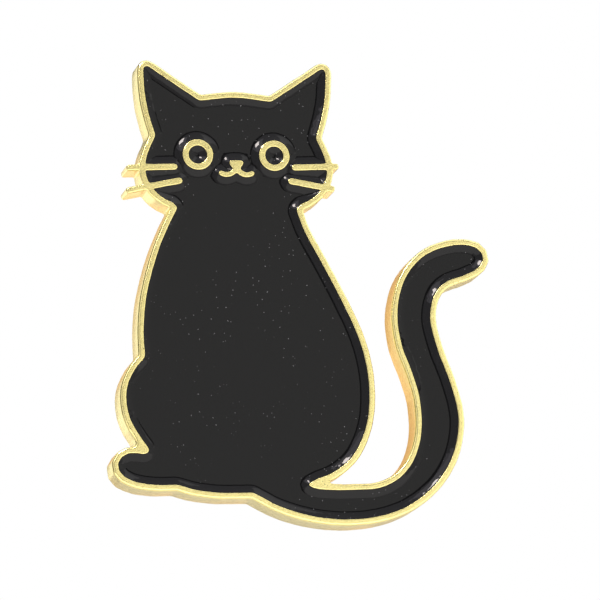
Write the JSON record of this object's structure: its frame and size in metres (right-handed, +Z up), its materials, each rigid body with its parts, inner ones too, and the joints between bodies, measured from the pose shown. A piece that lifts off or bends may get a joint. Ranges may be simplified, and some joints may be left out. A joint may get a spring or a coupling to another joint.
{
  "type": "enamel pin",
  "caption": "Soft-enamel lapel pin shaped as a sitting black cat with gold-plated lines, held by posts with squeeze-wing butterfly clutches on its back.",
  "frame": {"origin": "on the plate's flat back face, midway between the two posts, where the pin bears on the cloth", "axes": "+Z up the cat from its paws to its ears, -Y the way the cat's enamelled face looks, +Y along the posts into the cloth, +X towards the tail"},
  "size_m": [0.025, 0.01, 0.03],
  "materials": {
    "gold_plate": "bright pale gold plating with a fine cast grain",
    "black_enamel": "baked glossy soft enamel that climbs the metal lines",
    "post_plate": "polished gold plating over a drawn post",
    "solder": "dull solder, plated over thinly",
    "clutch_brass": "bright pressed brass",
    "spring_steel": "plain spring strip"
  },
  "bodies": {
    "pin": {"base_plate": "gold_plate", "body_enamel": "black_enamel", "left_pupil_enamel": "black_enamel", "right_pupil_enamel": "black_enamel", "upper_post": "post_plate", "lower_post": "post_plate", "upper_solder": "solder", "lower_solder": "solder"},
    "upper_disc": {"upper_clutch_disc": "clutch_brass"},
    "upper_cap": {"upper_clutch_cap": "clutch_brass", "upper_clutch_spring": "spring_steel"},
    "upper_top_wing": {"upper_clutch_top_wing": "clutch_brass"},
    "upper_bottom_wing": {"upper_clutch_bottom_wing": "clutch_brass"},
    "lower_disc": {"lower_clutch_disc": "clutch_brass"},
    "lower_cap": {"lower_clutch_cap": "clutch_brass", "lower_clutch_spring": "spring_steel"},
    "lower_right_wing": {"lower_clutch_right_wing": "clutch_brass"},
    "lower_left_wing": {"lower_clutch_left_wing": "clutch_brass"}
  },
  "joints": [
    {"name": "upper_clutch_pull", "type": "slide", "parent": "pin", "child": "upper_disc", "axis": [0, 1, 0], "range_m": [-0.00013, 0.0082]},
    {"name": "upper_cap_turn", "type": "hinge", "parent": "upper_disc", "child": "upper_cap", "pos_m": [0, 0.0006, 0.008], "axis": [0, 1, 0], "continuous": true},
    {"name": "upper_top_wing_squeeze", "type": "hinge", "parent": "upper_cap", "child": "upper_top_wing", "pos_m": [0, 0.0026, 0.01075], "axis": [-1, 0, 0], "range_deg": [0, 10], "stiffness_Nm_per_rad": 0.02, "springref_deg": -5.73},
    {"name": "upper_bottom_wing_squeeze", "type": "hinge", "parent": "upper_cap", "child": "upper_bottom_wing", "pos_m": [0, 0.0026, 0.00525], "axis": [1, 0, 0], "range_deg": [0, 10], "stiffness_Nm_per_rad": 0.02, "springref_deg": -5.73},
    {"name": "lower_clutch_pull", "type": "slide", "parent": "pin", "child": "lower_disc", "axis": [0, 1, 0], "range_m": [-0.00013, 0.0082]},
    {"name": "lower_cap_turn", "type": "hinge", "parent": "lower_disc", "child": "lower_cap", "pos_m": [0, 0.0006, -0.008], "axis": [0, 1, 0], "continuous": true},
    {"name": "lower_right_wing_squeeze", "type": "hinge", "parent": "lower_cap", "child": "lower_right_wing", "pos_m": [0.00275, 0.0026, -0.008], "axis": [0, 0, 1], "range_deg": [0, 10], "stiffness_Nm_per_rad": 0.02, "springref_deg": -5.73},
    {"name": "lower_left_wing_squeeze", "type": "hinge", "parent": "lower_cap", "child": "lower_left_wing", "pos_m": [-0.00275, 0.0026, -0.008], "axis": [0, 0, -1], "range_deg": [0, 10], "stiffness_Nm_per_rad": 0.02, "springref_deg": -5.73}
  ]
}
